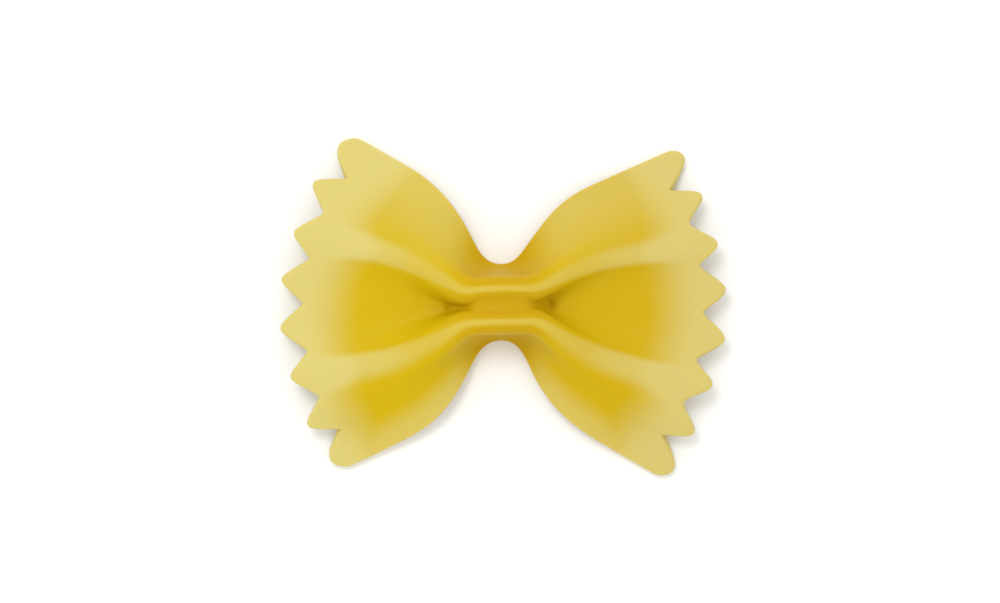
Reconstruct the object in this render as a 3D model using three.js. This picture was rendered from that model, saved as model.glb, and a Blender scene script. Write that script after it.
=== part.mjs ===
import * as THREE from 'three';

// One piece of dry bow-tie pasta: an egg-yellow sheet with two zigzag ends and two straight sides,
// pinched across its middle so that it folds into two ridges with a valley between them.
// Sizes are in millimetres and angles in degrees. X runs from wing to wing, Y across the bow, Z up.
// "along" is a distance on the sheet from the pinch towards a zigzag end.
// "share" runs from -1 at the lower straight side, over 0 on the axis, to 1 at the upper one.

// The cut sheet
const SHEET_THICKNESS = 1.05;
const SHEET_HALF_WIDTH = 16.2;
const TOOTH_PITCH = 4.2;
const TOOTH_DEPTH = 1.95;
const WHOLE_TEETH_PER_SIDE = 3;
const CORNER_LOBE_RADIUS = 1.15;
const LOBE_BLEND = 0.9;
const LOBE_FLANK_SLOPE = 1.22;
const NOTCH_ROUNDING = 0.25;
const NOTCH_REACH = 17.148;
const SIDE_CUTBACK = 1.16;
const RIM_ROUNDING = 0.1;

// The pinch
const WAIST_HALF_WIDTH = 2.8;
const INNER_FOLD_RADIUS = 0.71;
const OUTER_FOLD_RADIUS = 0.57;
const FOOT_START = 0.7;
const CREASE_OFFSET = -0.25;
const CREASE_OFFSET_RUN = 14;
const CREASE_OFFSET_SHARE = 0.6;
const FILL_SHARE = 0.44;
const FILL_HALF_LENGTH = 1.6;
const FILL_FADE = 4.6;
const FILL_SLOPE_LIMIT = 2.5;
const WELD_HALF_LENGTH = 2.2;
const WELD_FADE = 2.4;
const UNDERSIDE_GROOVE_DEPTH = 1.3;
const UNDERSIDE_GROOVE_SPREAD = 0.1;

// Heights of the middle of the sheet above the table
const RIDGE_AT_PINCH = 6.2;
const RIDGE_AT_END = 2.9;
const VALLEY_AT_PINCH = 2.6;
const VALLEY_AT_END = 2.3;
const FOLD_RUN = 7.5;
const RIDGE_SHARE_AT_PINCH = 0.5;
const RIDGE_LEAN_RUN = 16;
const VALLEY_FLAT_FROM = 3.5;
const VALLEY_FLAT_TO = 12.5;
const SIDE_AT_PINCH = 0.5;
const SIDE_AT_END = 0.45;
const SIDE_LIFT = 1;
const SIDE_CUT_OFF = 0.85;

// How the sheet fans out from the pinch
const FAN_DELAY = 2.1;
const FAN_EASE = 1.6;
const SLIT_SHARE = 0.2;
const INNER_SPREAD = 0.13;
const INNER_SPREAD_END = 0.602;
const END_SPREAD_SHARE = 0.781;
const TURN_RUN = 6;
const DRIFT_RUN = 4.5;
const TOOTH_START = 0.72;

// The slight unevenness that drying leaves in the sheet
const DRYING_WAVE_HEIGHT = 0.1;
const DRYING_WAVE_LENGTH = 13;
const DRYING_WAVE_SLANT = 0.6;
const DRYING_CROSS_WAVE_SLANT = 0.7;

// A quarter of the bow: how steeply its straight side leaves the waist, the angle that the side
// ends at, the distances over which it turns, the share at which the ridge reaches the teeth, how
// flat the valley's floor becomes beside it, and how far the corner lobe stands out.
const UPPER_LEFT = {
  flankAngle: 66.6, endAngle: 28.6, waistBend: 4.2, flattenFrom: 3.3, flattenOver: 10.4,
  ridgeShare: 0.38, valleyFlatness: 1.9, lobeReach: 2.7,
};
const LOWER_LEFT = {
  flankAngle: 66.5, endAngle: 26.8, waistBend: 4.4, flattenFrom: 4.8, flattenOver: 8.8,
  ridgeShare: 0.42, valleyFlatness: 1.2, lobeReach: 2.8,
};
const UPPER_RIGHT = {
  flankAngle: 60.2, endAngle: 28, waistBend: 3.4, flattenFrom: 4.7, flattenOver: 6.9,
  ridgeShare: 0.38, valleyFlatness: 1.6, lobeReach: 3.4,
};
const LOWER_RIGHT = {
  flankAngle: 74.6, endAngle: 25.9, waistBend: 4.6, flattenFrom: 0.4, flattenOver: 13.6,
  ridgeShare: 0.45, valleyFlatness: 1.5, lobeReach: 3,
};

// Each wing turns and drifts a little sideways, its teeth lean and reach a little differently, and
// the slit beside the pinch stays closed over its own length.
const LEFT_WING = {
  side: -1, upper: UPPER_LEFT, lower: LOWER_LEFT, turn: -0.8, drift: -0.32, slitDelay: 0.8,
  fanLean: -0.019, endLean: -0.067, slant: -0.334, extraReach: -0.169, toothSharpness: 0.9,
};
const RIGHT_WING = {
  side: 1, upper: UPPER_RIGHT, lower: LOWER_RIGHT, turn: -4.2, drift: 0.14, slitDelay: -0.2,
  fanLean: -0.011, endLean: 0.007, slant: -0.388, extraReach: 0.174, toothSharpness: 0.76,
};

// Mesh density
const ROWS_PER_WING = 21;
const FIRST_ROW_SHARE = 0.45;
const COLUMNS_PER_TOOTH = 8;
const COLUMNS_PER_CORNER = 8;
const TRACE_STEPS = 48;
const ROW_NUDGE = 0.001;
const SHARE_NUDGE = 0.07;

const { clamp, degToRad, lerp, smoothstep } = THREE.MathUtils;

// A quarter's setting, eased from the lower quarter to the upper one across the wing.
function acrossWing(wing, share, name) {
  const upperWeight = (1 + Math.sin(0.5 * Math.PI * share)) / 2;
  return lerp(wing.lower[name], wing.upper[name], upperWeight);
}

// A triangle wave with rounded tips and notches, from 0 in a notch to TOOTH_DEPTH on a tip.
function toothWave(across, sharpness) {
  const swing = Math.asin(sharpness * Math.cos((2 * Math.PI * across) / TOOTH_PITCH));
  return TOOTH_DEPTH * (0.5 - swing / (2 * Math.asin(sharpness)));
}

// The last half tooth at a corner: a flank steeper than the others' that ends in a round lobe.
function cornerLobe(across, lobeReach) {
  const lastNotch = WHOLE_TEETH_PER_SIDE * TOOTH_PITCH;
  const rise = (across - lastNotch) * LOBE_FLANK_SLOPE;
  const flank = Math.hypot(rise, NOTCH_ROUNDING) - NOTCH_ROUNDING;
  const lobeCentre = SHEET_HALF_WIDTH - CORNER_LOBE_RADIUS;
  const pastCentre = clamp(across - lobeCentre, 0, CORNER_LOBE_RADIUS);
  const round = Math.sqrt(CORNER_LOBE_RADIUS ** 2 - pastCentre ** 2) - CORNER_LOBE_RADIUS;
  const cap = lobeReach + round;
  const flankWeight = clamp(0.5 + (cap - flank) / (2 * LOBE_BLEND), 0, 1);
  return lerp(cap, flank, flankWeight) - LOBE_BLEND * flankWeight * (1 - flankWeight);
}

// How far the cut end stands out beyond its notches.
function cutEnd(wing, share) {
  const distance = Math.abs(share) * SHEET_HALF_WIDTH;
  const lastNotch = WHOLE_TEETH_PER_SIDE * TOOTH_PITCH;
  const lobe = cornerLobe(distance, (share < 0 ? wing.lower : wing.upper).lobeReach);
  const lobeWeight = smoothstep(distance, lastNotch, lastNotch + CORNER_LOBE_RADIUS / 2);
  return lerp(toothWave(distance, wing.toothSharpness), lobe, lobeWeight);
}

// The distance on the sheet from the pinch to a row. The teeth grow only over the last rows.
function alongAt(wing, share, row) {
  const notchReach = NOTCH_REACH + wing.extraReach - SIDE_CUTBACK * share ** 4 + wing.slant * share;
  return row * notchReach + smoothstep(row, TOOTH_START, 1) * cutEnd(wing, share);
}

// The direction in plan, in degrees from the bow's axis, of the sheet's line with this share.
// It rises beside the waist and flattens again towards the zigzag end.
function lineHeading(wing, share, along) {
  const size = Math.abs(share);
  const edgeWeight = size ** 2;
  const lean = Math.sign(share) * (1 - size);
  const innerBump = INNER_SPREAD * Math.sin(Math.PI * Math.min(size / INNER_SPREAD_END, 1)) ** 2;
  const spread = (size + innerBump) * (1 + wing.fanLean * lean);
  const endSpread = smoothstep(size, 0, END_SPREAD_SHARE) * (1 + wing.endLean * lean);
  const steepAngle = acrossWing(wing, share, 'flankAngle') * spread;
  const endAngle = acrossWing(wing, share, 'endAngle') * endSpread;

  const slitDelay = wing.slitDelay * (1 - smoothstep(size, SLIT_SHARE, RIDGE_SHARE_AT_PINCH));
  const bendStart = FAN_DELAY * (1 - edgeWeight ** 2) + slitDelay;
  const bendLength = lerp(FAN_EASE, acrossWing(wing, share, 'waistBend'), edgeWeight);
  const bent = clamp((along - bendStart) / bendLength, 0, 1);
  const rise = lerp(smoothstep(bent, 0, 1), Math.sin(0.5 * Math.PI * bent), edgeWeight);
  const flattenFrom = acrossWing(wing, share, 'flattenFrom');
  const flattenOver = acrossWing(wing, share, 'flattenOver');
  const flatten = smoothstep(along, flattenFrom, flattenFrom + flattenOver);
  const outward = rise * lerp(steepAngle, endAngle, flatten);
  return Math.sign(share) * outward + wing.side * wing.turn * smoothstep(along, 0, TURN_RUN);
}

// Where a line of the sheet has got to in plan, by adding up short steps along its heading.
function tracePlan(wing, share, along) {
  const step = along / TRACE_STEPS;
  const point = new THREE.Vector2();
  for (let count = 0; count < TRACE_STEPS; count += 1) {
    const heading = degToRad(lineHeading(wing, share, (count + 0.5) * step));
    point.x += step * Math.cos(heading);
    point.y += step * Math.sin(heading);
  }
  return point;
}

// 0 in the valley and at the side, 1 on the ridge. The wave is level in the valley and on the ridge,
// and is cut off at the side while it still falls. More flatness widens the valley's floor.
function foldWave(size, ridgeShare, flatness) {
  if (size < ridgeShare) {
    return Math.sin(0.5 * Math.PI * (size / ridgeShare) ** flatness) ** 2;
  }
  const span = SIDE_CUT_OFF * Math.PI;
  const low = Math.cos(span);
  return (Math.cos((span * (size - ridgeShare)) / (1 - ridgeShare)) - low) / (1 - low);
}

// Height of the sheet's middle: low in the valley and at the side, high on the ridge between them.
function sheetHeight(wing, share, along) {
  const fade = Math.exp(-((along / FOLD_RUN) ** 2));
  const ridge = lerp(RIDGE_AT_END, RIDGE_AT_PINCH, fade);
  const valley = lerp(VALLEY_AT_END, VALLEY_AT_PINCH, fade);
  const towardsEnd = clamp(along / NOTCH_REACH, 0, 1);
  const sideRise = SIDE_LIFT * Math.sin(Math.PI * towardsEnd) ** 2;
  const side = lerp(SIDE_AT_PINCH, SIDE_AT_END, towardsEnd) + sideRise;
  const leanWeight = smoothstep(along, 0, RIDGE_LEAN_RUN);
  const endShare = acrossWing(wing, share, 'ridgeShare');
  const ridgeShare = lerp(RIDGE_SHARE_AT_PINCH, endShare, leanWeight);
  const flatWeight = smoothstep(along, VALLEY_FLAT_FROM, VALLEY_FLAT_TO);
  const flatness = lerp(1, acrossWing(wing, share, 'valleyFlatness'), flatWeight);
  const size = Math.abs(share);
  const low = size < ridgeShare ? valley : side;
  return lerp(low, ridge, foldWave(size, ridgeShare, flatness));
}

// How far a leg of the pinched fold has turned off the vertical, 0 to 1, at a depth below its bend.
function bendReach(depth, radius) {
  const part = clamp(depth / radius, 0, 1);
  return Math.sqrt(part * (2 - part));
}

// Sideways place of the sheet's middle at the pinch: down one leg of a tight fold and up the next.
function pinchPlace(share) {
  const size = Math.abs(share);
  const low = size < RIDGE_SHARE_AT_PINCH ? VALLEY_AT_PINCH : SIDE_AT_PINCH;
  const height = lerp(low, RIDGE_AT_PINCH, foldWave(size, RIDGE_SHARE_AT_PINCH, 1));
  const valleyReach = bendReach(height - VALLEY_AT_PINCH, INNER_FOLD_RADIUS);
  const innerReach = bendReach(RIDGE_AT_PINCH - height, INNER_FOLD_RADIUS);
  const innerPlace = INNER_FOLD_RADIUS * (valleyReach + 1 - innerReach);
  const outerReach = bendReach(RIDGE_AT_PINCH - height, OUTER_FOLD_RADIUS);
  const legPlace = 2 * INNER_FOLD_RADIUS + OUTER_FOLD_RADIUS * outerReach;
  const footStretch = WAIST_HALF_WIDTH - 2 * INNER_FOLD_RADIUS - OUTER_FOLD_RADIUS;
  const footPart = Math.max(size - FOOT_START, 0) / (1 - FOOT_START);
  const outerPlace = legPlace + footStretch * footPart ** 2;
  return Math.sign(share) * (size < RIDGE_SHARE_AT_PINCH ? innerPlace : outerPlace);
}

// The crease lies a little off the axis, and only the straight sides keep clear of that.
function creaseOffset(share, along) {
  const sideWeight = smoothstep(Math.abs(share), CREASE_OFFSET_SHARE, 1);
  const fading = smoothstep(along, WELD_HALF_LENGTH, CREASE_OFFSET_RUN);
  return CREASE_OFFSET * (1 - sideWeight) * (1 - fading);
}

// A low wave over the wings that is gone at the pinch and at the zigzag ends.
function dryingWave(x, y, along) {
  const turnsPerMillimetre = (2 * Math.PI) / DRYING_WAVE_LENGTH;
  const wave = Math.sin(turnsPerMillimetre * (x + DRYING_WAVE_SLANT * y));
  const crossWave = Math.sin(turnsPerMillimetre * (DRYING_CROSS_WAVE_SLANT * x - y));
  const inside = Math.sin(Math.PI * clamp(along / NOTCH_REACH, 0, 1)) ** 2;
  return DRYING_WAVE_HEIGHT * (wave + crossWave) * inside;
}

// A point of the sheet's middle surface.
function sheetPoint(wing, share, row) {
  const along = alongAt(wing, share, row);
  const plan = tracePlan(wing, share, along);
  const drift = wing.drift * (1 - share ** 2) * smoothstep(along, 0, DRIFT_RUN);
  const x = wing.side * plan.x;
  const y = plan.y + pinchPlace(share) + creaseOffset(share, along) + drift;
  const z = sheetHeight(wing, share, along) + dryingWave(x, y, along);
  return new THREE.Vector3(x, y, z);
}

// The sheet's upward normal, from points a nudge away on each side where the sheet goes on. The
// nudge across the sheet is wide, so the inner face of a tight bend isn't folded over.
function sheetNormal(wing, share, row) {
  const rowBefore = Math.max(row - ROW_NUDGE, 0);
  const rowAfter = Math.min(row + ROW_NUDGE, 1);
  const shareBefore = Math.max(share - SHARE_NUDGE, -1);
  const shareAfter = Math.min(share + SHARE_NUDGE, 1);
  const outwards = sheetPoint(wing, share, rowAfter).sub(sheetPoint(wing, share, rowBefore));
  const across = sheetPoint(wing, shareAfter, row).sub(sheetPoint(wing, shareBefore, row));
  return outwards.cross(across).normalize().multiplyScalar(wing.side);
}

// How far from the axis the slit between the two rolls is filled, as a share.
function fillReach(along) {
  return FILL_SHARE * (1 - smoothstep(along, FILL_HALF_LENGTH, FILL_HALF_LENGTH + FILL_FADE));
}

// The upper face where the pinch has pressed the two rolls into one body. It is a parabola from one
// wall of the slit to the other, which runs into each without a kink where that isn't steep.
function slitFill(wing, share, row, reach) {
  const [lower, upper] = [-reach, reach].map((wallShare) => {
    const normal = sheetNormal(wing, wallShare, row);
    const point = sheetPoint(wing, wallShare, row).addScaledVector(normal, SHEET_THICKNESS / 2);
    return { point, slope: Math.abs(normal.y / normal.z) };
  });
  const halfGap = (upper.point.y - lower.point.y) / 2;
  const slope = Math.min((lower.slope + upper.slope) / 2, FILL_SLOPE_LIMIT);
  const place = share / reach;
  const fill = lower.point.clone().lerp(upper.point, (place + 1) / 2);
  fill.z -= ((slope * halfGap) / 2) * (1 - place ** 2);
  return fill;
}

// The lower face under the pinch: the valley's rounded underside, a groove on each side of it under
// the ridges, and two feet that reach out to the straight sides.
function weldedBottom(share, middle, valley, ridge, side) {
  const valleyBottom = valley.z - SHEET_THICKNESS / 2;
  const sideBottom = side.z - SHEET_THICKNESS / 2;
  const groove = new THREE.Vector2(
    ridge.y + Math.sign(share) * UNDERSIDE_GROOVE_SPREAD,
    valleyBottom + UNDERSIDE_GROOVE_DEPTH,
  );
  const size = Math.abs(share);
  if (size < RIDGE_SHARE_AT_PINCH) {
    const turn = (0.5 * Math.PI * size) / RIDGE_SHARE_AT_PINCH;
    const y = lerp(valley.y, groove.x, Math.sin(turn));
    return new THREE.Vector3(middle.x, y, lerp(groove.y, valleyBottom, Math.cos(turn)));
  }
  const turn = (0.5 * Math.PI * (size - RIDGE_SHARE_AT_PINCH)) / (1 - RIDGE_SHARE_AT_PINCH);
  const y = lerp(side.y, groove.x, Math.cos(turn));
  return new THREE.Vector3(middle.x, y, lerp(groove.y, sideBottom, Math.sin(turn)));
}

// The two faces of the sheet at one grid point, pressed into one body near the pinch.
function sheetFaces(wing, share, row) {
  const middle = sheetPoint(wing, share, row);
  const normal = sheetNormal(wing, share, row);
  const top = middle.clone().addScaledVector(normal, SHEET_THICKNESS / 2);
  const bottom = middle.clone().addScaledVector(normal, -SHEET_THICKNESS / 2);

  const reach = fillReach(alongAt(wing, 0, row));
  if (Math.abs(share) < reach) {
    top.copy(slitFill(wing, share, row, reach));
  }
  const along = alongAt(wing, share, row);
  const opening = smoothstep(along, WELD_HALF_LENGTH, WELD_HALF_LENGTH + WELD_FADE);
  if (opening < 1) {
    const sign = share < 0 ? -1 : 1;
    const valley = sheetPoint(wing, 0, row);
    const ridge = sheetPoint(wing, RIDGE_SHARE_AT_PINCH * sign, row);
    const side = sheetPoint(wing, sign, row);
    bottom.lerp(weldedBottom(share, middle, valley, ridge, side), 1 - opening);
  }
  bottom.z = Math.max(bottom.z, 0);
  return { top, bottom };
}

// Shares of the grid's columns: each whole tooth holds the same number, and they crowd together
// towards the corners, for the round lobes.
function columnShares() {
  const inner = WHOLE_TEETH_PER_SIDE * COLUMNS_PER_TOOTH;
  const half = [];
  for (let column = 0; column <= inner; column += 1) {
    half.push((column * TOOTH_PITCH) / COLUMNS_PER_TOOTH / SHEET_HALF_WIDTH);
  }
  const cornerStart = half[inner];
  for (let column = 1; column <= COLUMNS_PER_CORNER; column += 1) {
    half.push(lerp(cornerStart, 1, Math.sin((0.5 * Math.PI * column) / COLUMNS_PER_CORNER)));
  }
  const lowerHalf = half.slice(1).reverse().map((share) => -share);
  return [...lowerHalf, ...half];
}

// The grid's rows from the left zigzag end over the pinch, where they crowd, to the right one.
function gridRows() {
  const rows = [];
  for (let index = -ROWS_PER_WING; index <= ROWS_PER_WING; index += 1) {
    const step = Math.abs(index) / ROWS_PER_WING;
    const row = lerp(step ** 2, step, FIRST_ROW_SHARE);
    rows.push({ wing: index < 0 ? LEFT_WING : RIGHT_WING, row });
  }
  return rows;
}

// The closed surface: two faces split into triangles alike, joined by a rounded rim all round.
function pastaGeometry() {
  const shares = columnShares();
  const rows = gridRows();
  const columnCount = shares.length;
  const faces = rows.map(({ wing, row }) => shares.map((share) => sheetFaces(wing, share, row)));
  const points = faces.flat();
  const positions = [
    ...points.map(({ top }) => top),
    ...points.map(({ bottom }) => bottom),
  ];
  const triangles = [];
  const lastRow = rows.length - 1;
  const lastColumn = columnCount - 1;
  for (let row = 0; row < lastRow; row += 1) {
    for (let column = 0; column < lastColumn; column += 1) {
      const near = row * columnCount + column;
      const far = near + columnCount;
      triangles.push([near, far, far + 1], [near, far + 1, near + 1]);
      const under = points.length + near;
      const underFar = points.length + far;
      triangles.push([under, underFar + 1, underFar], [under, under + 1, underFar + 1]);
    }
  }

  // The rim runs along the lower side, the right end, the upper side and the left end.
  const rim = [];
  for (let row = 0; row < lastRow; row += 1) {
    rim.push(row * columnCount);
  }
  for (let column = 0; column < lastColumn; column += 1) {
    rim.push(lastRow * columnCount + column);
  }
  for (let row = lastRow; row > 0; row -= 1) {
    rim.push(row * columnCount + lastColumn);
  }
  for (let column = lastColumn; column > 0; column -= 1) {
    rim.push(column);
  }
  const middles = rim.map((index) => points[index].top.clone().lerp(points[index].bottom, 0.5));
  const rimStart = positions.length;
  rim.forEach((index, place) => {
    const before = middles[(place + rim.length - 1) % rim.length];
    const after = middles[(place + 1) % rim.length];
    const up = points[index].top.clone().sub(points[index].bottom);
    const outward = after.clone().sub(before).cross(up).normalize();
    positions.push(middles[place].clone().addScaledVector(outward, RIM_ROUNDING));
  });
  rim.forEach((index, place) => {
    const next = (place + 1) % rim.length;
    const middle = rimStart + place;
    const middleNext = rimStart + next;
    const top = index;
    const topNext = rim[next];
    const bottom = points.length + index;
    const bottomNext = points.length + rim[next];
    triangles.push([middle, middleNext, topNext], [middle, topNext, top]);
    triangles.push([bottom, bottomNext, middleNext], [bottom, middleNext, middle]);
  });

  const geometry = new THREE.BufferGeometry().setFromPoints(positions);
  geometry.setIndex(triangles.flat());
  return geometry;
}

// The origin is the middle of the footprint, on the table.
function centreOnTable(geometry) {
  geometry.computeBoundingBox();
  const centre = geometry.boundingBox.getCenter(new THREE.Vector3());
  geometry.translate(-centre.x, -centre.y, -geometry.boundingBox.min.z);
  geometry.computeVertexNormals();
  return geometry;
}

function makeFarfalle() {
  const material = new THREE.MeshStandardMaterial({ color: '#dcc35a', roughness: 0.55, metalness: 0 });
  const mesh = new THREE.Mesh(centreOnTable(pastaGeometry()), material);
  mesh.name = 'farfalle';
  return mesh;
}

const pasta = new THREE.Group();
pasta.add(makeFarfalle());

export default pasta;
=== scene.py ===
"""One piece of dry bow-tie pasta on a pale studio floor, seen from straight above.

The piece is a sheet of durum wheat dough, cut with two zigzag ends and two straight sides, pinched
across its middle and dried. Its sizes are in millimetres and its angles in degrees, and only the
finished mesh is in metres. Three names are used for places on the sheet:

* along: the distance on the sheet from the pinch towards a zigzag end, in millimetres,
* share: the place across the sheet, -1 at the lower straight side, 0 on the axis, 1 at the upper,
* row: the place between the pinch, 0, and the cut zigzag end, 1.
"""
import logging
import math
from dataclasses import dataclass
from enum import Enum
from typing import Any

import bpy
import numpy as np
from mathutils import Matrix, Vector


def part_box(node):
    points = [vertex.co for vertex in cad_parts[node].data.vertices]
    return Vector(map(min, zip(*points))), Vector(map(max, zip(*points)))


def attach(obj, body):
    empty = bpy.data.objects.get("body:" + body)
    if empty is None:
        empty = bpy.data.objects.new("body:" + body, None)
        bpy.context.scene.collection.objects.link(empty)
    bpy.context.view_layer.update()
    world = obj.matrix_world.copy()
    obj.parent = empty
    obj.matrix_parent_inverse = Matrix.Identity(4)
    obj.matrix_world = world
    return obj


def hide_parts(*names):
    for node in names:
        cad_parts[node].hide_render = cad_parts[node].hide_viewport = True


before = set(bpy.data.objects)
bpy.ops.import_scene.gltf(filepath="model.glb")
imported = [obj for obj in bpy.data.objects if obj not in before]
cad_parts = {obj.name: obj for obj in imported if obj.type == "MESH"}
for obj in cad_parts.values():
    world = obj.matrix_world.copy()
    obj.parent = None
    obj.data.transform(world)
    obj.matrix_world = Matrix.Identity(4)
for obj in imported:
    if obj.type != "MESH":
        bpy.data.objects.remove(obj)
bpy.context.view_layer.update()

Array = np.ndarray

METRES_PER_MM = 0.001
# the pale share carries painted highlight, sheen and glow, and the amber share painted shade
SHEET_ATTRIBUTES = ("paleness_and_highlight", "amber_and_shade")
PASTA_NODE = "farfalle"
BODY = "root"

log = logging.getLogger("pasta")


def smooth(value: Array, start: float | Array, end: float | Array) -> Array:
    """Ease from 0 at start to 1 at end, level at both: 3 t squared minus 2 t cubed.

    Args:
        value: The places to ease at.
        start: Where the ease begins.
        end: Where it is complete.

    Returns:
        The eased weight at each place, 0 to 1.
    """
    part = np.clip((value - start) / (end - start), 0.0, 1.0)
    return part * part * (3.0 - 2.0 * part)


def mix(low: Any, high: Any, weight: Any) -> Any:
    """Blend from low at weight 0 to high at weight 1."""
    return low + (high - low) * weight


def linear(hex_colour: str) -> tuple[float, float, float, float]:
    """Turn an sRGB hex colour into the linear colour that a shader reads.

    Args:
        hex_colour: Six hex digits after a hash.

    Returns:
        Linear red, green and blue, and an alpha of 1.
    """
    channels = [int(hex_colour[place:place + 2], 16) / 255.0 for place in (1, 3, 5)]
    red, green, blue = (
        channel / 12.92 if channel <= 0.04045 else ((channel + 0.055) / 1.055) ** 2.4
        for channel in channels
    )
    return (red, green, blue, 1.0)


def add_node(tree: bpy.types.NodeTree, kind: str, settings: dict[str, Any] | None = None,
             **links: Any) -> bpy.types.Node:
    """Add one node with its settings, and set or link its inputs.

    Args:
        tree: The node tree that gets the node.
        kind: The node's type name.
        settings: The node's own properties, by name.
        links: Its inputs by name, with underscores for spaces, or by number as in_0. A socket is
            linked, and anything else becomes the input's value.

    Returns:
        The new node.
    """
    node = tree.nodes.new(kind)
    for name, value in (settings or {}).items():
        setattr(node, name, value)
    for name, value in links.items():
        key = int(name[3:]) if name.startswith("in_") else name.replace("_", " ")
        if isinstance(value, bpy.types.NodeSocket):
            tree.links.new(value, node.inputs[key])
        else:
            node.inputs[key].default_value = value
    return node


class Side(Enum):
    """The two wings, by the direction of X that each points in."""

    LEFT = -1
    RIGHT = 1


class Face(Enum):
    """The two faces of the sheet, by the direction along its normal."""

    UPPER = 1
    LOWER = -1


@dataclass(frozen=True)
class Quarter:
    """A quarter of the bow, described by how its straight side runs.

    The side leaves the waist ever more steeply over waist_bend until it has turned flank_angle off
    the bow's axis, and flattens again to end_angle between flatten_from and flatten_over further
    on. ridge_share is where the ridge reaches the teeth, valley_flatness how flat the valley's
    floor becomes beside it, and lobe_reach how far the corner lobe stands out beyond the last
    notch.
    """

    flank_angle: float
    end_angle: float
    waist_bend: float
    flatten_from: float
    flatten_over: float
    ridge_share: float
    valley_flatness: float
    lobe_reach: float


@dataclass(frozen=True)
class Wing:
    """One wing: its two quarters, and how it turns, opens, is cut and gets painted sheen unlike the
    other.

    turn is in degrees. drift moves its axis towards the upper side, slit_delay is how much later
    the slit beside the pinch opens, slant lengthens its upper side and shortens its lower one,
    extra_reach lengthens all of it, and sheen_lean takes the pale rim further in on the upper side
    as a painted sheen of light from the top left, all in millimetres. fan_lean and end_lean open
    the upper inner lines and close the lower ones, as parts of their own angle, and
    tooth_sharpness is how pointed the teeth are, 0 to 1.
    """

    side: Side
    upper: Quarter
    lower: Quarter
    turn: float
    drift: float
    slit_delay: float
    fan_lean: float
    end_lean: float
    slant: float
    extra_reach: float
    tooth_sharpness: float
    # painted sheen: how much further in the pale rim is painted on the upper side
    sheen_lean: float

    def across(self, share: Array, setting: str) -> Array:
        """Ease a quarter's setting from the lower quarter to the upper one.

        Args:
            share: Places across the sheet.
            setting: The name of the quarter's setting.

        Returns:
            The setting at each place: the two quarters' values mixed by a half sine wave.
        """
        upper_weight = (1.0 + np.sin(0.5 * np.pi * share)) / 2.0
        return mix(getattr(self.lower, setting), getattr(self.upper, setting), upper_weight)


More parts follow.
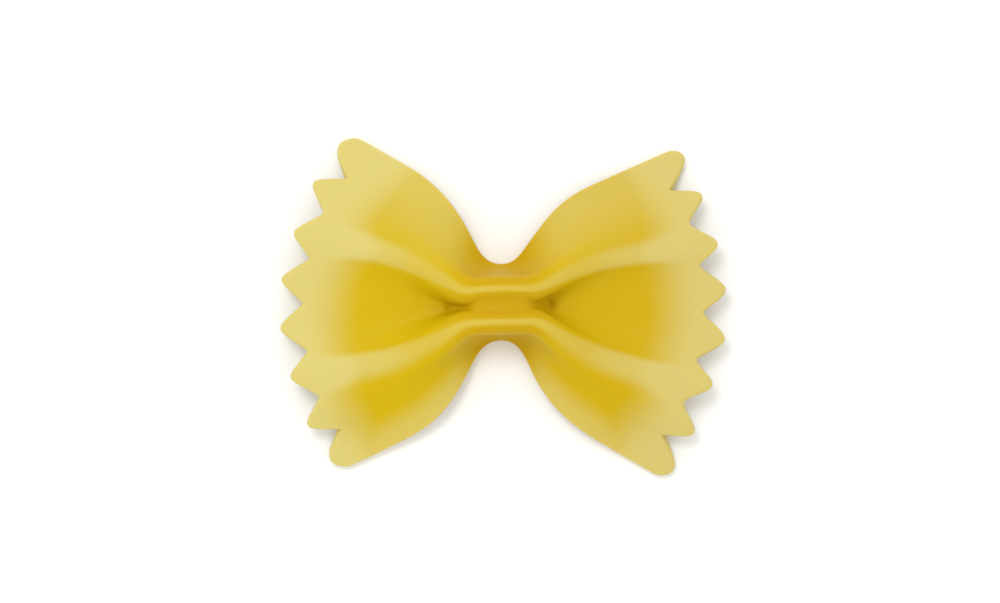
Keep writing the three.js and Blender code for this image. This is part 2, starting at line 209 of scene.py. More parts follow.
@dataclass(frozen=True)
class FoldedSheet:
    """The pinched sheet as a surface of row and share."""

    thickness: float = 1.05
    half_width: float = 16.2
    tooth_pitch: float = 4.2
    tooth_depth: float = 1.95
    whole_teeth_per_side: int = 3
    corner_lobe_radius: float = 1.15
    lobe_blend: float = 0.9
    lobe_flank_slope: float = 1.22
    notch_rounding: float = 0.25
    notch_reach: float = 17.148
    side_cutback: float = 1.16

    waist_half_width: float = 2.8
    inner_fold_radius: float = 0.71
    outer_fold_radius: float = 0.57
    foot_start: float = 0.7
    crease_offset: float = -0.25
    crease_offset_run: float = 14.0
    crease_offset_share: float = 0.6
    fill_share: float = 0.44
    fill_from: float = 1.6
    fill_over: float = 4.6
    fill_slope: float = 2.5
    weld_half_length: float = 2.2
    weld_fade: float = 2.4
    groove_depth: float = 1.3
    groove_spread: float = 0.1

    ridge_at_pinch: float = 6.2
    ridge_at_end: float = 2.9
    valley_at_pinch: float = 2.6
    valley_at_end: float = 2.3
    fold_run: float = 7.5
    ridge_share_at_pinch: float = 0.5
    ridge_lean_run: float = 16.0
    valley_flat_from: float = 3.5
    valley_flat_to: float = 12.5
    side_at_pinch: float = 0.5
    side_at_end: float = 0.45
    side_lift: float = 1.0
    side_cut_off: float = 0.85

    fan_delay: float = 2.1
    fan_ease: float = 1.6
    slit_share: float = 0.2
    inner_spread: float = 0.13
    inner_spread_end: float = 0.602
    end_spread_share: float = 0.781
    turn_run: float = 6.0
    drift_run: float = 4.5
    tooth_start: float = 0.72
    drying_wave_height: float = 0.1
    drying_wave_length: float = 13.0
    drying_wave_slants: tuple[float, float] = (0.6, 0.7)

    trace_steps: int = 48
    row_nudge: float = 0.001
    share_nudge: float = 0.07
    smallest_share: float = 1e-6

    @property
    def last_notch(self) -> float:
        """Distance across the sheet from its axis to the last notch."""
        return self.whole_teeth_per_side * self.tooth_pitch

    def tooth_wave(self, across: Array, sharpness: float) -> Array:
        """The zigzag: a triangle wave with rounded tips, from 0 in a notch to the tooth's depth.

        It is the arc sine of a cosine that is damped by the sharpness, so that 1 gives straight
        flanks with sharp corners and 0 a plain cosine.

        Args:
            across: Distances from the axis, in millimetres.
            sharpness: How pointed the teeth are, 0 to 1.

        Returns:
            How far the cut stands out beyond the notches, in millimetres.
        """
        swing = np.arcsin(sharpness * np.cos(2.0 * np.pi * across / self.tooth_pitch))
        return self.tooth_depth * (0.5 - swing / (2.0 * math.asin(sharpness)))

    def corner_lobe(self, across: Array, reach: Array) -> Array:
        """The last half tooth: the lower of a rounded V flank and a quarter circle, blended.

        Args:
            across: Distances from the axis, in millimetres.
            reach: How far the lobe's top stands out.

        Returns:
            How far the cut stands out beyond the notches, in millimetres.
        """
        rise = (across - self.last_notch) * self.lobe_flank_slope
        flank = np.hypot(rise, self.notch_rounding) - self.notch_rounding
        radius = self.corner_lobe_radius
        past_centre = np.clip(across - (self.half_width - radius), 0.0, radius)
        cap = reach + np.sqrt(radius ** 2 - past_centre ** 2) - radius
        flank_weight = np.clip(0.5 + (cap - flank) / (2.0 * self.lobe_blend), 0.0, 1.0)
        blend_drop = self.lobe_blend * flank_weight * (1.0 - flank_weight)
        return mix(cap, flank, flank_weight) - blend_drop

    def cut_end(self, wing: Wing, share: Array) -> Array:
        """The zigzag end: teeth, and a lobe at each corner.

        Args:
            wing: The wing.
            share: Places across the sheet.

        Returns:
            How far the cut stands out beyond its notches, in millimetres.
        """
        across = np.abs(share) * self.half_width
        reach = np.where(share < 0.0, wing.lower.lobe_reach, wing.upper.lobe_reach)
        lobe_end = self.last_notch + self.corner_lobe_radius / 2.0
        lobe_weight = smooth(across, self.last_notch, lobe_end)
        teeth = self.tooth_wave(across, wing.tooth_sharpness)
        return mix(teeth, self.corner_lobe(across, reach), lobe_weight)

    def along(self, wing: Wing, share: Array, row: Array) -> Array:
        """The distance on the sheet from the pinch: the teeth grow only over the last rows.

        Args:
            wing: The wing.
            share: Places across the sheet, by row and column.
            row: Places between pinch and end, as a column vector.

        Returns:
            A distance for each row and column.
        """
        reach = self.notch_reach + wing.extra_reach
        reach = reach - self.side_cutback * share ** 4 + wing.slant * share
        return row * reach + smooth(row, self.tooth_start, 1.0) * self.cut_end(wing, share)

    def heading(self, wing: Wing, share: Array, along: Array) -> Array:
        """The direction in plan of the sheet's lines, in degrees from the bow's axis.

        A line's steepest angle is its share of the straight side's, with a bump for the inner
        lines. The angle rises beside the waist, by a mix of an ease and a quarter sine wave, and
        then eases over to the line's angle at the zigzag end. The lines in the slit wait longer.

        Args:
            wing: The wing.
            share: Places across the sheet.
            along: Distances from the pinch.

        Returns:
            The headings.
        """
        size = np.abs(share)
        edge_weight = size ** 2
        lean = np.sign(share) * (1.0 - size)
        bump_place = np.minimum(size / self.inner_spread_end, 1.0)
        spread = size + self.inner_spread * np.sin(np.pi * bump_place) ** 2
        spread = spread * (1.0 + wing.fan_lean * lean)
        end_spread = smooth(size, 0.0, self.end_spread_share) * (1.0 + wing.end_lean * lean)
        steep_angle = wing.across(share, "flank_angle") * spread
        end_angle = wing.across(share, "end_angle") * end_spread

        slit_weight = 1.0 - smooth(size, self.slit_share, self.ridge_share_at_pinch)
        bend_start = self.fan_delay * (1.0 - edge_weight ** 2) + wing.slit_delay * slit_weight
        bend_length = mix(self.fan_ease, wing.across(share, "waist_bend"), edge_weight)
        bent = np.clip((along - bend_start) / bend_length, 0.0, 1.0)
        rise = mix(smooth(bent, 0.0, 1.0), np.sin(0.5 * np.pi * bent), edge_weight)
        flatten_from = wing.across(share, "flatten_from")
        flatten_to = flatten_from + wing.across(share, "flatten_over")
        flatten = smooth(along, flatten_from, flatten_to)
        outward = rise * mix(steep_angle, end_angle, flatten)
        turned = wing.side.value * wing.turn * smooth(along, 0.0, self.turn_run)
        return np.sign(share) * outward + turned

    def plan(self, wing: Wing, share: Array, along: Array) -> tuple[Array, Array]:
        """Where the sheet's lines have got to in plan: the mean of their headings, step by step.

        Args:
            wing: The wing.
            share: Places across the sheet.
            along: Distances from the pinch.

        Returns:
            The distance from the pinch along the bow's axis, and across it.
        """
        parts = (np.arange(self.trace_steps) + 0.5) / self.trace_steps
        heading = np.radians(self.heading(wing, share[..., None], along[..., None] * parts))
        return along * np.cos(heading).mean(axis=-1), along * np.sin(heading).mean(axis=-1)

    def fold_wave(self, size: Array, ridge_share: Array, flatness: Array) -> Array:
        """The fold across the sheet, 0 in the valley, 1 on the ridge and 0 at the side.

        From the valley to the ridge it is a squared sine of a power of the place, and from there
        to the side a cosine that is cut off while it still falls.

        Args:
            size: Places across the sheet, without their sign.
            ridge_share: Where the ridge is.
            flatness: The power. More of it widens the valley's floor.

        Returns:
            The height at each place, as a part of the ridge's.
        """
        inner_part = np.clip(size / ridge_share, 0.0, 1.0)
        inner = np.sin(0.5 * np.pi * inner_part ** flatness) ** 2
        span = self.side_cut_off * np.pi
        outer_part = np.clip((size - ridge_share) / (1.0 - ridge_share), 0.0, 1.0)
        outer = (np.cos(span * outer_part) - np.cos(span)) / (1.0 - np.cos(span))
        return np.where(size < ridge_share, inner, outer)

    def ridge_share(self, wing: Wing, share: Array, along: Array) -> Array:
        """Where the ridge is across the sheet: it leans over to its place at the zigzag end."""
        lean_weight = smooth(along, 0.0, self.ridge_lean_run)
        return mix(self.ridge_share_at_pinch, wing.across(share, "ridge_share"), lean_weight)

    def height(self, wing: Wing, share: Array, along: Array) -> Array:
        """Height of the sheet's middle: low in the valley and at the side, high on the ridge.

        Valley and ridge both run from their height at the pinch to that at the end by a bell curve
        of the distance, and the side rises in a squared half sine wave between the two.

        Args:
            wing: The wing.
            share: Places across the sheet.
            along: Distances from the pinch.

        Returns:
            The heights.
        """
        bell = np.exp(-((along / self.fold_run) ** 2))
        ridge = mix(self.ridge_at_end, self.ridge_at_pinch, bell)
        valley = mix(self.valley_at_end, self.valley_at_pinch, bell)
        towards_end = np.clip(along / self.notch_reach, 0.0, 1.0)
        lift = self.side_lift * np.sin(np.pi * towards_end) ** 2
        side = mix(self.side_at_pinch, self.side_at_end, towards_end) + lift
        size = np.abs(share)
        ridge_share = self.ridge_share(wing, share, along)
        flat_weight = smooth(along, self.valley_flat_from, self.valley_flat_to)
        flatness = mix(1.0, wing.across(share, "valley_flatness"), flat_weight)
        low = np.where(size < ridge_share, valley, side)
        return mix(low, ridge, self.fold_wave(size, ridge_share, flatness))

    def bend_reach(self, depth: Array, radius: float) -> Array:
        """How far sideways a quarter circle has come at a depth from its top, 0 to 1."""
        part = np.clip(depth / radius, 0.0, 1.0)
        return np.sqrt(part * (2.0 - part))

    def pinch_place(self, share: Array) -> Array:
        """Sideways place of the sheet's middle at the pinch.

        The inner leg of the fold is upright, with a quarter circle into the valley and one over the
        ridge. The outer leg starts with one over the ridge, and a foot eases out from it to the
        waist.

        Args:
            share: Places across the sheet.

        Returns:
            Distances from the bow's axis.
        """
        size = np.abs(share)
        ridge_share = self.ridge_share_at_pinch
        low = np.where(size < ridge_share, self.valley_at_pinch, self.side_at_pinch)
        height = mix(low, self.ridge_at_pinch, self.fold_wave(size, ridge_share, 1.0))
        valley_reach = self.bend_reach(height - self.valley_at_pinch, self.inner_fold_radius)
        inner_reach = self.bend_reach(self.ridge_at_pinch - height, self.inner_fold_radius)
        inner = self.inner_fold_radius * (valley_reach + 1.0 - inner_reach)
        outer_reach = self.bend_reach(self.ridge_at_pinch - height, self.outer_fold_radius)
        leg = 2.0 * self.inner_fold_radius + self.outer_fold_radius * outer_reach
        foot = self.waist_half_width - 2.0 * self.inner_fold_radius - self.outer_fold_radius
        foot_part = np.maximum(size - self.foot_start, 0.0) / (1.0 - self.foot_start)
        outer = leg + foot * foot_part ** 2
        return np.sign(share) * np.where(size < ridge_share, inner, outer)

    def crease_shift(self, share: Array, along: Array) -> Array:
        """The crease lies a little off the axis, and only the straight sides keep clear of that.

        Args:
            share: Places across the sheet.
            along: Distances from the pinch.

        Returns:
            The sideways shifts.
        """
        side_weight = smooth(np.abs(share), self.crease_offset_share, 1.0)
        fading = smooth(along, self.weld_half_length, self.crease_offset_run)
        return self.crease_offset * (1.0 - side_weight) * (1.0 - fading)

    def drying_wave(self, x: Array, y: Array, along: Array) -> Array:
        """A low wave over the wings: two crossing sine waves, gone at the pinch and the ends.

        Args:
            x: Places along the bow's axis.
            y: Places across it.
            along: Distances from the pinch.

        Returns:
            The wave's heights.
        """
        turns = 2.0 * np.pi / self.drying_wave_length
        rising, falling = self.drying_wave_slants
        wave = np.sin(turns * (x + rising * y)) + np.sin(turns * (falling * x - y))
        inside = np.sin(np.pi * np.clip(along / self.notch_reach, 0.0, 1.0)) ** 2
        return self.drying_wave_height * wave * inside

    def middle(self, wing: Wing, share: Array, row: Array) -> Array:
        """Points of the sheet's middle surface.

        Args:
            wing: The wing.
            share: Places across the sheet, by row and column.
            row: Places between pinch and end, as a column vector.

        Returns:
            An array of rows by columns by X, Y and Z, in millimetres.
        """
        along = self.along(wing, share, row)
        forward, sideways = self.plan(wing, share, along)
        drift = wing.drift * (1.0 - share ** 2) * smooth(along, 0.0, self.drift_run)
        x = wing.side.value * forward
        y = sideways + self.pinch_place(share) + self.crease_shift(share, along) + drift
        z = self.height(wing, share, along) + self.drying_wave(x, y, along)
        return np.stack([x, y, z], axis=-1)

    def normal(self, wing: Wing, share: Array, row: Array) -> Array:
        """Upward unit normals: the cross product of the two slopes, from points a nudge away.

        The nudge across the sheet is wide, so the inner face of a tight bend isn't folded over.

        Args:
            wing: The wing.
            share: Places across the sheet, by row and column.
            row: Places between pinch and end, as a column vector.

        Returns:
            A normal for each row and column.
        """
        row_after = self.middle(wing, share, np.minimum(row + self.row_nudge, 1.0))
        row_before = self.middle(wing, share, np.maximum(row - self.row_nudge, 0.0))
        share_after = self.middle(wing, np.minimum(share + self.share_nudge, 1.0), row)
        share_before = self.middle(wing, np.maximum(share - self.share_nudge, -1.0), row)
        cross = np.cross(row_after - row_before, share_after - share_before)
        cross = cross * wing.side.value
        return cross / np.linalg.norm(cross, axis=-1, keepdims=True)

    def fill_reach(self, wing: Wing, row: Array) -> Array:
        """How far the slit between the two rolls is filled.

        Args:
            wing: The wing.
            row: Places between pinch and end, as a column vector.

        Returns:
            The share at which the fill ends, for each row.
        """
        along = self.along(wing, np.zeros((1, 1)), row)
        fill_end = self.fill_from + self.fill_over
        return self.fill_share * (1.0 - smooth(along, self.fill_from, fill_end))

    def filled_top(self, wing: Wing, share: Array, row: Array, upper: Array) -> Array:
        """Fill the slit between the two rolls, where the pinch has pressed them into one body.

        The fill reaches from the axis to a share that shrinks to nothing beyond the pinch. It is a
        parabola from wall to wall, which runs into each wall without a kink where that isn't steep.

        Args:
            wing: The wing.
            share: Places across the sheet, by row and column.
            row: Places between pinch and end, as a column vector.
            upper: The upper face's points before the fill.

        Returns:
            The upper face's points.
        """
        limit = self.fill_reach(wing, row)
        walls = np.concatenate([-limit, limit], axis=1)
        wall_normal = self.normal(wing, walls, row)
        wall = self.middle(wing, walls, row) + wall_normal * self.thickness / 2.0
        half_gap = (wall[:, 1:, 1] - wall[:, :1, 1]) / 2.0
        slope = np.abs(wall_normal[..., 1] / wall_normal[..., 2]).mean(axis=1, keepdims=True)
        sag = np.minimum(slope, self.fill_slope) * half_gap / 2.0

        place = np.clip(share / np.maximum(limit, self.smallest_share), -1.0, 1.0)
        fill = mix(wall[:, :1], wall[:, 1:], (place[..., None] + 1.0) / 2.0)
        fill[..., 2] -= sag * (1.0 - place ** 2)
        return np.where((np.abs(share) < limit)[..., None], fill, upper)

    def welded_bottom(self, share: Array, middle: Array, marks: Array) -> Array:
        """The lower face under the pinch, pressed into one body.

        The valley's rounded underside rises into a groove under each ridge, and a foot spreads
        from there to the straight side. Each is a quarter of an ellipse.

        Args:
            share: Places across the sheet, by row and column.
            middle: Points of the middle surface.
            marks: Its points at the lower side, lower ridge, valley, upper ridge and upper side.

        Returns:
            The face's points.
        """
        upper_half = np.where(share[0] < 0.0, 0, 1)
        valley = marks[:, 2:3, 1:]
        ridge = marks[:, [1, 3], 1:][:, upper_half]
        side = marks[:, [0, 4], 1:][:, upper_half]
        size = np.abs(share)
        valley_bottom = valley[..., 1] - self.thickness / 2.0
        side_bottom = side[..., 1] - self.thickness / 2.0
        groove_y = ridge[..., 0] + np.sign(share) * self.groove_spread
        groove_z = valley_bottom + self.groove_depth
        split = self.ridge_share_at_pinch
        inner_turn = 0.5 * np.pi * np.minimum(size / split, 1.0)
        outer_turn = 0.5 * np.pi * np.maximum(size - split, 0.0) / (1.0 - split)
        inner_y = mix(valley[..., 0], groove_y, np.sin(inner_turn))
        inner_z = mix(groove_z, valley_bottom, np.cos(inner_turn))
        outer_y = mix(side[..., 0], groove_y, np.cos(outer_turn))
        outer_z = mix(groove_z, side_bottom, np.sin(outer_turn))
        y = np.where(size < split, inner_y, outer_y)
        z = np.where(size < split, inner_z, outer_z)
        return np.stack([middle[..., 0], y, z], axis=-1)

    def faces(self, wing: Wing, share: Array, row: Array) -> tuple[Array, Array]:
        """The two faces of a wing: half a thickness off the middle, and welded near the pinch.

        Args:
            wing: The wing.
            share: Places across the sheet, as a row vector.
            row: Places between pinch and end, as a column vector.

        Returns:
            The upper and the lower face, each as rows by columns by X, Y and Z.
        """
        middle = self.middle(wing, share, row)
        normal = self.normal(wing, share, row)
        upper = middle + normal * Face.UPPER.value * self.thickness / 2.0
        lower = middle + normal * Face.LOWER.value * self.thickness / 2.0
        upper = self.filled_top(wing, share, row, upper)

        split = self.ridge_share_at_pinch
        marks = self.middle(wing, np.array([[-1.0, -split, 0.0, split, 1.0]]), row)
        along = self.along(wing, share, row)
        opening = smooth(along, self.weld_half_length, self.weld_half_length + self.weld_fade)
        lower = mix(self.welded_bottom(share, middle, marks), lower, opening[..., None])
        lower[..., 2] = np.maximum(lower[..., 2], 0.0)
        return upper, lower


@dataclass(frozen=True)
class SheetPlaces:
    """Where on the sheet some points lie: distances along it in millimetres.

    from_end is taken from the notches, and from_ridge is negative in the valley.
    """

    from_pinch: Array
    from_end: Array
    from_upper_side: Array
    from_lower_side: Array
    from_ridge: Array


@dataclass(frozen=True)
class DryingAndPaintedLight:
    """How the sheet has dried, with painted light laid over its colour: its outer parts turn pale,
    and the thick pinch stays amber, partly as painted shade.

    The zigzag rims dry first and are also painted paler as a glow of light through the thin rim,
    the more so where a ridge's painted highlight meets them. The straight sides away from the pinch
    follow, the upper one with a wide band that is partly a painted sheen of light from the top. The
    crests of the ridges carry a painted highlight. Distances are in millimetres.
    """

    # rim: pale as the cut rim dries first, and painted paler still as a glow of light through the
    # thin rim
    rim_pale_and_glow: float = 0.75
    rim_reach: float = 5.2
    # how much further in the rim's pale band reaches along the crest's painted highlight
    rim_reach_along_highlight: float = 3.0
    # straight sides: pale bands as the cut sides dry; the upper side's wide band is partly a
    # painted sheen of light falling from the top
    upper_side_pale_and_sheen: float = 0.37
    upper_side_sheen_reach: float = 11.0
    lower_side_paleness: float = 0.46
    lower_side_reach: float = 3.2
    side_pales_over: tuple[float, float] = (2.5, 7.5)
    # painted highlight: how pale the crest band is painted along each ridge, near the pinch and far
    # out
    crest_highlight: tuple[float, float] = (0.26, 0.52)
    crest_highlight_over: tuple[float, float] = (7.0, 12.0)
    # the band across a ridge that carries the painted highlight, narrow at the pinch
    crest_inside: tuple[float, float] = (-1.9, -0.7)
    crest_outside: tuple[float, float] = (0.4, 2.2)
    crest_at_pinch: float = 0.26
    crest_opens_over: tuple[float, float] = (1.0, 9.5)
    # amber: the thick pinch's deeper colour, and painted shade in its folds and walls
    amber_share: float = 0.75
    amber_fades_over: tuple[float, float] = (1.0, 6.0)

    def crest(self, places: SheetPlaces) -> Array:
        """Find the band along a ridge's crest: one ease up from the valley times one ease down.

        Args:
            places: Where the points lie.

        Returns:
            1 on the crest and 0 off it: the band that carries the painted highlight. The band is
                                         narrow at
            the pinch, where the bend is tight.
        """
        opened = smooth(places.from_pinch, *self.crest_opens_over)
        from_ridge = places.from_ridge / mix(self.crest_at_pinch, 1.0, opened)
        inner = smooth(from_ridge, *self.crest_inside)
        return inner * (1.0 - smooth(from_ridge, *self.crest_outside))

    def paleness_and_highlight(self, places: SheetPlaces) -> Array:
        """Find how pale the colour is: the most of what the rim and the sides give as they dry,
        with their painted glow and sheen, and of the crest's painted highlight.

        Args:
            places: Where the points lie.

        Returns:
            The share of the pale colour, 0 to 1.
        """
        crest = self.crest(places)
        # rim: partly dried paler, partly a painted glow of light through the thin rim, reaching
        # further in along the painted highlight
        rim_gap = places.from_end - self.rim_reach_along_highlight * crest
        rim = self.rim_pale_and_glow * (1.0 - smooth(rim_gap, 0.0, self.rim_reach))
        # the upper side's wide pale band is partly a painted sheen of light falling from the top
        upper_fade = 1.0 - smooth(places.from_upper_side, 0.0, self.upper_side_sheen_reach)
        lower_fade = 1.0 - smooth(places.from_lower_side, 0.0, self.lower_side_reach)
        sides = np.maximum(self.upper_side_pale_and_sheen * upper_fade,
                           self.lower_side_paleness * lower_fade)
        side = sides * smooth(places.from_pinch, *self.side_pales_over)
        outwards = smooth(places.from_pinch, *self.crest_highlight_over)
        # the crest's share is a painted highlight along the ridges
        return np.maximum(np.maximum(rim, side), crest * mix(*self.crest_highlight, outwards))

    def amber_and_shade(self, places: SheetPlaces) -> Array:
        """How amber the colour is: the thick dough's deeper colour and painted shade in the folds
        at the pinch, most there, and nowhere on the crest's painted highlight.
        """
        near_pinch = 1.0 - smooth(places.from_pinch, *self.amber_fades_over)
        # the amber share is partly painted shade in the folds, kept off the painted highlight on
        # the crest
        return self.amber_share * near_pinch * (1.0 - self.crest(places))


@dataclass(frozen=True)
class DryPasta:
    """Dried durum wheat dough, rolled smooth and cut: satin, slightly translucent, egg yellow.

    Its colour follows how the sheet has dried, with painted highlight, sheen, glow and shade laid
    over it, a faint mottle and a few dark specks of husk. The right wing is painted a little darker
    and browner, as painted shade. Pattern sizes and places are in millimetres.
    """

    gold: str = "#C9AA06"
    # pale: the dried cream colour, also laid on as painted highlight, sheen and glow
    pale: str = "#D2C880"
    # amber: the thick pinch's colour, also laid on as painted shade in its folds
    amber: str = "#C0960C"
    # the specks' brown, also laid on the right wing as painted shade
    bran_and_shade: str = "#A9762A"
    # painted shade: how much darker and browner the right wing is painted, over X in millimetres
    right_wing_shade: float = 0.12
    right_wing_shade_over: tuple[float, float] = (-2.0, 12.0)
    speck_share: float = 0.25
    speck_over: tuple[float, float] = (0.70, 0.78)
    roughness: float = 0.41
    roughness_range: float = 0.07
    refractive_index: float = 1.5
    specular: float = 0.07
    subsurface: float = 0.2
    subsurface_reach: float = 0.8
    subsurface_radius: tuple[float, float, float] = (1.0, 0.7, 0.12)
    mottle_size: float = 2.4
    mottle_depth: float = 0.03
    mottle_layers: float = 3.0
    mottle_roughness: float = 0.55
    grain_size: float = 0.22
    grain_depth: float = 0.006
    grain_strength: float = 0.5
    grain_layers: float = 2.0
    grain_roughness: float = 0.6

    def material(self) -> bpy.types.Material:
        """Build the dried dough's material.

        Returns:
            A node material that reads the sheet's own attributes and its Object coordinates.
        """
        made = bpy.data.materials.new("dried_durum_dough")
        made.use_nodes = True
        tree = made.node_tree
        tree.nodes.clear()
        place = add_node(tree, "ShaderNodeTexCoord").outputs["Object"]
        grain = add_node(tree, "ShaderNodeTexNoise", Vector=place, Detail=self.grain_layers,
                         Roughness=self.grain_roughness,
                         Scale=1.0 / (self.grain_size * METRES_PER_MM)).outputs["Fac"]
        roughness = add_node(tree, "ShaderNodeMapRange", Value=grain,
                             To_Min=self.roughness - self.roughness_range,
                             To_Max=self.roughness + self.roughness_range)
        bump = add_node(tree, "ShaderNodeBump", Height=grain, Strength=self.grain_strength,
                        Distance=self.grain_depth * METRES_PER_MM)
        shader = add_node(
            tree, "ShaderNodeBsdfPrincipled",
            Base_Color=self.colour(tree, place, grain),
            Roughness=roughness.outputs["Result"],
            Normal=bump.outputs["Normal"],
            IOR=self.refractive_index,
            Specular_IOR_Level=self.specular,
            Subsurface_Weight=self.subsurface,
            Subsurface_Radius=self.subsurface_radius,
            Subsurface_Scale=self.subsurface_reach * METRES_PER_MM,
        )
        add_node(tree, "ShaderNodeOutputMaterial", Surface=shader.outputs["BSDF"])
        return made

    def colour(self, tree: bpy.types.NodeTree, place: bpy.types.NodeSocket,
               grain: bpy.types.NodeSocket) -> bpy.types.NodeSocket:
        """Lay the pale colour with its painted highlight, sheen and glow, the amber with its
        painted shade, the right wing's brown painted shade and the husk specks over the gold one,
        each by its own share.

        A Mix node's inputs 6 and 7 and its output 2 are the ones for colours.

        Args:
            tree: The material's node tree.
            place: Object coordinates.
            grain: The fine noise.

        Returns:
            The socket with the colour.
        """
        # shares of pale, with painted highlight, sheen and glow, and of amber, with painted shade
        paleness_and_highlight, amber_and_shade = (
            add_node(tree, "ShaderNodeAttribute", {"attribute_name": name}).outputs["Fac"]
            for name in SHEET_ATTRIBUTES
        )
        noise = add_node(tree, "ShaderNodeTexNoise", Vector=place, Detail=self.mottle_layers,
                         Roughness=self.mottle_roughness,
                         Scale=1.0 / (self.mottle_size * METRES_PER_MM)).outputs["Fac"]
        mottle = add_node(tree, "ShaderNodeMapRange", Value=noise, To_Min=-self.mottle_depth,
                          To_Max=self.mottle_depth).outputs["Result"]
        mottled_pale_and_highlight = add_node(tree, "ShaderNodeMath", {"operation": "ADD"}, in_0=paleness_and_highlight, in_1=mottle)
        # painted shade: the right wing darkened towards +X, as the light falls from the left
        shade_from, shade_to = (METRES_PER_MM * place_x for place_x in self.right_wing_shade_over)
        place_x = add_node(tree, "ShaderNodeSeparateXYZ", Vector=place).outputs["X"]
        right_wing_shading = add_node(tree, "ShaderNodeMapRange", {"interpolation_type": "SMOOTHSTEP"},
                        Value=place_x, From_Min=shade_from, From_Max=shade_to, To_Min=0.0,
                        To_Max=self.right_wing_shade)
        specks = add_node(tree, "ShaderNodeMapRange", Value=grain, From_Min=self.speck_over[0],
                          From_Max=self.speck_over[1], To_Min=0.0, To_Max=self.speck_share)
        # layers: pale with painted highlight, sheen and glow; amber with painted shade; the right
        # wing's painted shade; and the husk specks
        layers = (
            (self.pale, mottled_pale_and_highlight.outputs["Value"]),
            (self.amber, amber_and_shade),
            (self.bran_and_shade, right_wing_shading.outputs["Result"]),
            (self.bran_and_shade, specks.outputs["Result"]),
        )
        colour = linear(self.gold)
        for layer, share in layers:
            colour = add_node(tree, "ShaderNodeMix", {"data_type": "RGBA"}, in_0=share, in_6=colour,
                              in_7=linear(layer)).outputs[2]
        return colour


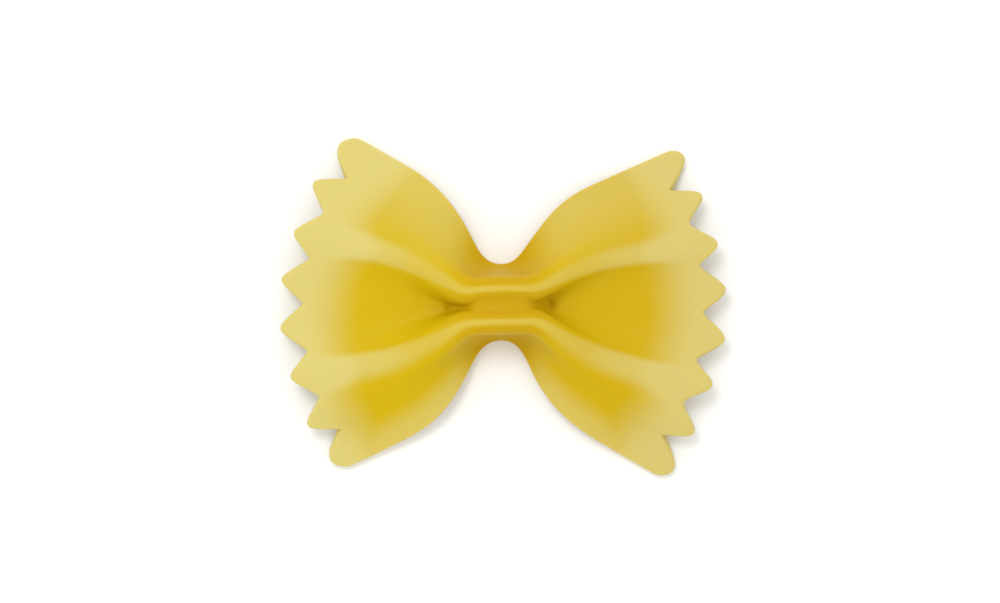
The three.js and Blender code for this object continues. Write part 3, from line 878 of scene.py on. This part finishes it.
@dataclass
class Farfalle:
    """The piece of pasta: its sheet, its two wings, and how finely its surface is divided.

    rim_bulge is how far the cut rim is rounded outwards, in millimetres.
    """

    sheet: FoldedSheet
    left: Wing
    right: Wing
    drying_and_light: DryingAndPaintedLight
    finish: DryPasta
    name: str = "dry_farfalle"
    rows_per_wing: int = 92
    row_evenness: float = 0.45
    columns_per_tooth: int = 24
    columns_per_corner: int = 32
    rim_bulge: float = 0.16
    rim_strips: int = 7

    def shares(self) -> Array:
        """Places of the columns: even over the teeth, and crowding by a sine at the corners.

        Returns:
            Shares from -1 to 1.
        """
        inner_count = self.sheet.whole_teeth_per_side * self.columns_per_tooth
        spacing = self.sheet.tooth_pitch / self.columns_per_tooth / self.sheet.half_width
        inner = np.arange(inner_count + 1) * spacing
        turn = 0.5 * np.pi * np.arange(1, self.columns_per_corner + 1) / self.columns_per_corner
        half = np.concatenate([inner, mix(inner[-1], 1.0, np.sin(turn))])
        return np.concatenate([-half[:0:-1], half])

    def rows(self) -> Array:
        """Places of a wing's rows: a mix of the step and its square, so they crowd at the pinch."""
        step = np.arange(self.rows_per_wing + 1) / self.rows_per_wing
        return mix(step ** 2, step, self.row_evenness)

    def grids(self) -> tuple[Array, Array, dict[str, Array]]:
        """Both wings' faces and attributes, from the left zigzag end to the right one.

        Returns:
            The upper face, the lower face, and the attributes by name, each by row and column.
        """
        share, row = self.shares()[None, :], self.rows()[:, None]
        parts = []
        for wing, wing_row in ((self.left, row[:0:-1]), (self.right, row)):
            upper, lower = self.sheet.faces(wing, share, wing_row)
            parts.append((upper, lower, self.attributes(wing, share, wing_row)))
        (upper_left, lower_left, left), (upper_right, lower_right, right) = parts
        values = {name: np.concatenate([left[name], right[name]]) for name in left}
        upper = np.concatenate([upper_left, upper_right])
        lower = np.concatenate([lower_left, lower_right])
        return upper, lower, values

    def attributes(self, wing: Wing, share: Array, row: Array) -> dict[str, Array]:
        """What the finish reads at each grid point.

        Args:
            wing: The wing.
            share: Places across the sheet, as a row vector.
            row: Places between pinch and end, as a column vector.

        Returns:
            How pale, with painted highlight, sheen and glow, and how amber, with painted shade, the
            colour is. The pale rim reaches further in, as a painted sheen, towards the side that
            the wing's sheen_lean points to.
        """
        along = self.sheet.along(wing, share, row)
        notches = self.sheet.along(wing, share, np.ones((1, 1))) - self.sheet.cut_end(wing, share)
        from_ridge = np.abs(share) - self.sheet.ridge_share(wing, share, along)
        from_upper_side = np.broadcast_to((1.0 - share) * self.sheet.half_width, along.shape)
        places = SheetPlaces(
            from_pinch=along,
            # the pale rim is painted further in towards the upper side, a painted sheen of light
            # falling from the top left
            from_end=notches - along - wing.sheen_lean * share,
            from_upper_side=from_upper_side,
            from_lower_side=2.0 * self.sheet.half_width - from_upper_side,
            from_ridge=from_ridge * self.sheet.half_width,
        )
        # pale share with painted highlight, sheen and glow; amber share with painted shade
        values = (self.drying_and_light.paleness_and_highlight(places), self.drying_and_light.amber_and_shade(places))
        return dict(zip(SHEET_ATTRIBUTES, values))

    def surface(self) -> tuple[Array, Array, dict[str, Array]]:
        """The closed surface: two faces, and a rim of strips bulged as half an ellipse.

        Returns:
            The points in millimetres, the quads as point numbers, and the attributes.
        """
        upper, lower, values = self.grids()
        row_count, column_count = upper.shape[:2]
        number = np.arange(row_count * column_count).reshape(row_count, column_count)
        near, far = number[:-1], number[1:]
        top_quads = np.stack([near[:, :-1], far[:, :-1], far[:, 1:], near[:, 1:]], axis=-1)
        bottom_quads = top_quads[..., ::-1] + number.size

        rim = np.concatenate([number[:-1, 0], number[-1, :-1], number[:0:-1, -1], number[0, :0:-1]])
        top, bottom = upper.reshape(-1, 3), lower.reshape(-1, 3)
        rim_middle = (top[rim] + bottom[rim]) / 2.0
        rim_up = (top[rim] - bottom[rim]) / 2.0
        ahead = np.roll(rim_middle, -1, axis=0) - np.roll(rim_middle, 1, axis=0)
        outward = np.cross(ahead, rim_up)
        outward = outward / np.linalg.norm(outward, axis=1, keepdims=True)
        turn = np.pi * (np.arange(1, self.rim_strips) / self.rim_strips - 0.5)
        bulge = self.rim_bulge * np.cos(turn)[:, None, None] * outward
        strips = rim_middle + np.sin(turn)[:, None, None] * rim_up + bulge

        first = 2 * number.size
        inner_levels = first + np.arange(strips.shape[0] * rim.size).reshape(-1, rim.size)
        levels = np.concatenate([rim[None, :] + number.size, inner_levels, rim[None, :]])
        ahead_levels = np.roll(levels, -1, axis=1)
        rim_quads = np.stack(
            [levels[:-1], ahead_levels[:-1], ahead_levels[1:], levels[1:]], axis=-1)

        points = np.concatenate([top, bottom, strips.reshape(-1, 3)])
        parts = (top_quads, bottom_quads, rim_quads)
        quads = np.concatenate([part.reshape(-1, 4) for part in parts])
        point_values = {}
        for name, value in values.items():
            flat = value.reshape(-1)
            point_values[name] = np.concatenate([flat, flat, np.tile(flat[rim], strips.shape[0])])
        return points, quads, point_values

    def build(self) -> bpy.types.Object:
        """Make the piece, centred where the CAD piece is, and dress it.

        Returns:
            The piece's object.
        """
        points, quads, values = self.surface()
        points = points * METRES_PER_MM
        low, high = (np.array(corner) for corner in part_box(PASTA_NODE))
        middle = (points.min(axis=0) + points.max(axis=0)) / 2.0
        shift = (low + high) / 2.0 - middle
        shift[2] = low[2] - points[:, 2].min()
        mesh = bpy.data.meshes.new(self.name)
        mesh.from_pydata((points + shift).tolist(), [], quads.tolist())
        mesh.shade_smooth()
        for name, value in values.items():
            attribute = mesh.attributes.new(name, "FLOAT", "POINT")
            attribute.data.foreach_set("value", value.astype(np.float32))
        mesh.materials.append(self.finish.material())
        piece = bpy.data.objects.new(self.name, mesh)
        bpy.context.scene.collection.objects.link(piece)
        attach(piece, BODY)
        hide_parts(PASTA_NODE)
        return piece


@dataclass(frozen=True)
class Studio:
    """A pale floor, a soft light overhead and a camera that looks straight down.

    Its places and sizes are in metres, its light is in watts and its lens in millimetres.
    """

    floor_size: float = 3.0
    floor_gap: float = 0.00003
    floor_colour: str = "#F8F8F8"
    floor_roughness: float = 0.9
    world_strength: float = 1.02
    light_size: float = 0.25
    light_place: tuple[float, float, float] = (-0.14, 0.24, 0.66)
    light_power: float = 1.35
    view_width: float = 0.086
    view_height_level: float = 0.003
    view_centre: tuple[float, float] = (-0.00026, 0.00046)
    lens: float = 180.0
    seen_between: tuple[float, float] = (0.01, 10.0)

    def build(self) -> None:
        """Make the floor, the light, the world and the camera."""
        self.floor()
        self.light()
        self.world()
        self.camera()

    def floor(self) -> None:
        """A flat square of matt white board just under the piece."""
        reach = self.floor_size / 2.0
        corners = [(-reach, -reach), (reach, -reach), (reach, reach), (-reach, reach)]
        mesh = bpy.data.meshes.new("studio_floor")
        mesh.from_pydata([(x, y, -self.floor_gap) for x, y in corners], [], [(0, 1, 2, 3)])
        board = bpy.data.materials.new("matt_white_board")
        board.use_nodes = True
        board.node_tree.nodes.clear()
        shader = add_node(board.node_tree, "ShaderNodeBsdfPrincipled",
                          Base_Color=linear(self.floor_colour),
                          Roughness=self.floor_roughness)
        add_node(board.node_tree, "ShaderNodeOutputMaterial", Surface=shader.outputs["BSDF"])
        mesh.materials.append(board)
        floor = bpy.data.objects.new("studio_floor", mesh)
        bpy.context.scene.collection.objects.link(floor)

    def light(self) -> None:
        """One large soft light overhead, a little towards the top left of the view."""
        lamp = bpy.data.lights.new("soft_overhead_light", "AREA")
        lamp.shape = "DISK"
        lamp.size = self.light_size
        lamp.energy = self.light_power
        light = bpy.data.objects.new("soft_overhead_light", lamp)
        light.location = self.light_place
        light.rotation_euler = (-Vector(self.light_place)).to_track_quat("-Z", "Y").to_euler()
        bpy.context.scene.collection.objects.link(light)

    def world(self) -> None:
        """Even white light from all round."""
        world = bpy.data.worlds.new("white_studio")
        world.use_nodes = True
        world.node_tree.nodes.clear()
        background = add_node(world.node_tree, "ShaderNodeBackground", Color=(1.0, 1.0, 1.0, 1.0),
                              Strength=self.world_strength)
        add_node(world.node_tree, "ShaderNodeOutputWorld", Surface=background.outputs["Background"])
        bpy.context.scene.world = world

    def camera(self) -> None:
        """A long lens straight above, at the height that fits view_width into the picture."""
        lens = bpy.data.cameras.new("overhead_camera")
        lens.lens = self.lens
        lens.clip_start, lens.clip_end = self.seen_between
        height = self.view_width * lens.lens / lens.sensor_width + self.view_height_level
        camera = bpy.data.objects.new("overhead_camera", lens)
        camera.location = (*self.view_centre, height)
        bpy.context.scene.collection.objects.link(camera)
        bpy.context.scene.camera = camera
        bpy.context.scene.view_settings.view_transform = "Standard"


LEFT_WING = Wing(
    side=Side.LEFT,
    upper=Quarter(flank_angle=66.6, end_angle=28.6, waist_bend=4.2, flatten_from=3.3,
                  flatten_over=10.4, ridge_share=0.38, valley_flatness=1.9,
                  lobe_reach=2.7),
    lower=Quarter(flank_angle=66.5, end_angle=26.8, waist_bend=4.4, flatten_from=4.8,
                  flatten_over=8.8, ridge_share=0.42, valley_flatness=1.2,
                  lobe_reach=2.8),
    turn=-0.8, drift=-0.32, slit_delay=0.8, fan_lean=-0.019, end_lean=-0.067, slant=-0.334,
    extra_reach=-0.169, tooth_sharpness=0.9, sheen_lean=1.7,
)
RIGHT_WING = Wing(
    side=Side.RIGHT,
    upper=Quarter(flank_angle=60.2, end_angle=28.0, waist_bend=3.4, flatten_from=4.7,
                  flatten_over=6.9, ridge_share=0.38, valley_flatness=1.6,
                  lobe_reach=3.4),
    lower=Quarter(flank_angle=74.6, end_angle=25.9, waist_bend=4.6, flatten_from=0.4,
                  flatten_over=13.6, ridge_share=0.45, valley_flatness=1.5,
                  lobe_reach=3.0),
    turn=-4.2, drift=0.14, slit_delay=-0.2, fan_lean=-0.011, end_lean=0.007, slant=-0.388,
    extra_reach=0.174, tooth_sharpness=0.76, sheen_lean=0.0,
)


def main() -> None:
    logging.basicConfig(level=logging.INFO, format="%(name)s: %(message)s")
    piece = Farfalle(FoldedSheet(), LEFT_WING, RIGHT_WING, DryingAndPaintedLight(), DryPasta()).build()
    log.info("%s: %d points, %d faces", piece.name, len(piece.data.vertices),
             len(piece.data.polygons))
    Studio().build()
    log.info("studio: floor, light and camera")


if __name__ == "__main__":
    main()
